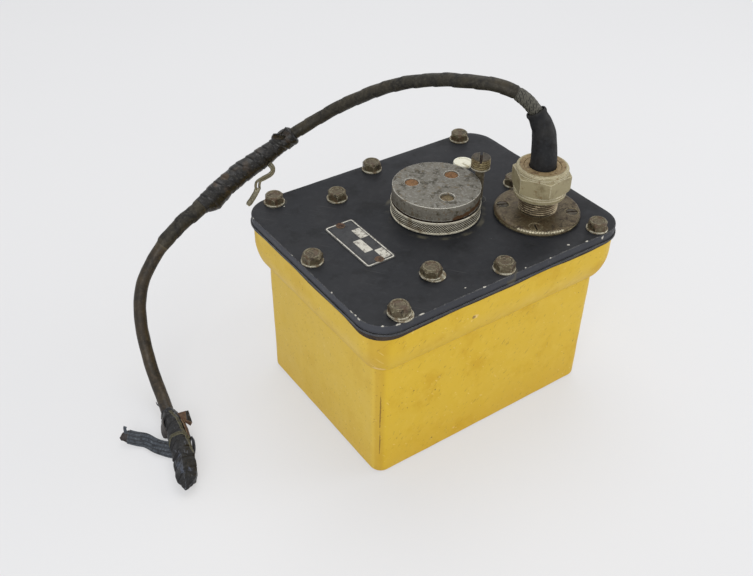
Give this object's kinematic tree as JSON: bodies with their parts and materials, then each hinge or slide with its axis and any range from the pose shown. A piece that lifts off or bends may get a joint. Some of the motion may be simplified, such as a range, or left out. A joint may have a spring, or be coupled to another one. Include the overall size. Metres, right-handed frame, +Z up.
{
  "type": "cap_lamp_battery_box",
  "caption": "Battery box of a miner's cap lamp: yellow moulded case, bolted black lid, screw cap over the charging socket and a gland with a taped cable stump.",
  "frame": {"origin": "centre of the underside of the case", "axes": "+X along the long side towards the cable gland, +Y towards the long side that the cable falls behind, +Z up"},
  "size_m": [0.2994, 0.2022, 0.2132],
  "materials": {
    "yellow_moulding": "satin",
    "black_paint": "satin",
    "brown_gasket": "matte",
    "olive_steel": "worn",
    "washer_steel": "worn",
    "plate_black": "satin",
    "rust_steel": "rusty",
    "cream_plastic": "matte",
    "cap_alloy": "worn",
    "brass": "plain",
    "dark_brass": "worn",
    "black_rubber": "matte",
    "phenolic": "matte",
    "flange_metal": "worn",
    "nut_cream": "worn",
    "brown_nylon": "matte",
    "cable_tape": "matte",
    "wire_red": "plain",
    "fuse_glass": "clear",
    "jar_plastic": "plain",
    "lead_grey": "matte",
    "separator_sheet": "matte",
    "vent_red": "plain",
    "packing_felt": "matte"
  },
  "bodies": {
    "box": {"case": "yellow_moulding", "case_inserts": "brass", "lid": "black_paint", "lid_backing": "black_paint", "lid_gasket": "brown_gasket", "edge_bolts": "olive_steel", "inner_bolts": "olive_steel", "bolt_washers": "washer_steel", "packing_washers": "washer_steel", "data_plate": "plate_black", "plate_rivets": "rust_steel", "blank_plug": "cream_plastic", "socket_neck": "brass", "socket_insulator": "phenolic", "socket_contacts": "brass", "lock_bush": "brass", "gland_body": "flange_metal", "gland_gasket": "black_rubber", "gland_screws": "dark_brass", "gland_seal": "black_rubber", "cable_boot": "black_rubber", "cable_upper": "cable_tape", "cable_splice": "cable_tape", "splice_hook": "olive_steel", "cable_lower": "cable_tape", "cable_stump": "cable_tape", "stump_clip": "rust_steel", "tape_tail": "cable_tape", "cable_tail": "cable_tape", "cable_cores": "wire_red", "terminal_board": "phenolic", "board_pillars": "brass", "board_screws": "washer_steel", "board_terminals": "brass", "fuse": "fuse_glass", "fuse_clips": "brass", "cell_jars": "jar_plastic", "cell_tops": "jar_plastic", "cell_plates": "lead_grey", "cell_separators": "separator_sheet", "cell_posts": "lead_grey", "cell_vents": "vent_red", "cell_links": "lead_grey", "post_nuts": "brass", "cell_leads": "wire_red", "base_pad": "black_rubber", "side_packing": "black_rubber", "top_packing": "packing_felt"},
    "cap_seal_ring": {"cap_seal": "black_rubber"},
    "cap": {"cap_disc": "cap_alloy", "cap_ring": "cap_alloy", "cap_screws": "rust_steel", "cap_liner": "brass"},
    "lock_washer": {"lock_washer": "washer_steel"},
    "lock_screw": {"lock_screw": "dark_brass"},
    "gland_ring": {"gland_slip_ring": "brown_nylon"},
    "gland_nut": {"gland_nut": "nut_cream"}
  },
  "joints": [
    {"name": "cap_lift", "type": "slide", "parent": "box", "child": "cap_seal_ring", "axis": [0, 0, 1], "range_m": [0, 0.002]},
    {"name": "cap_turn", "type": "hinge", "parent": "cap_seal_ring", "child": "cap", "pos_m": [0.004, 0.003, 0.127], "axis": [0, 0, 1], "range_deg": [0, 360]},
    {"name": "lock_lift", "type": "slide", "parent": "box", "child": "lock_washer", "axis": [0, 0, 1], "range_m": [-0.001, 0.002]},
    {"name": "lock_turn", "type": "hinge", "parent": "lock_washer", "child": "lock_screw", "pos_m": [0.0354, -0.0006, 0.127], "axis": [0, 0, 1], "range_deg": [-360, 720]},
    {"name": "gland_lift", "type": "slide", "parent": "box", "child": "gland_ring", "axis": [0, 0, 1], "range_m": [0, 0.003]},
    {"name": "gland_nut_turn", "type": "hinge", "parent": "gland_ring", "child": "gland_nut", "pos_m": [0.0556, -0.0339, 0.127], "axis": [0, 0, 1], "range_deg": [0, 720]}
  ],
  "couplings": [
    {"joint": "cap_lift", "follows": "cap_turn", "m_per_rad": 0.00031831},
    {"joint": "lock_turn", "follows": "lock_lift", "rad_per_m": 6283.2},
    {"joint": "gland_lift", "follows": "gland_nut_turn", "m_per_rad": 0.00023873}
  ]
}
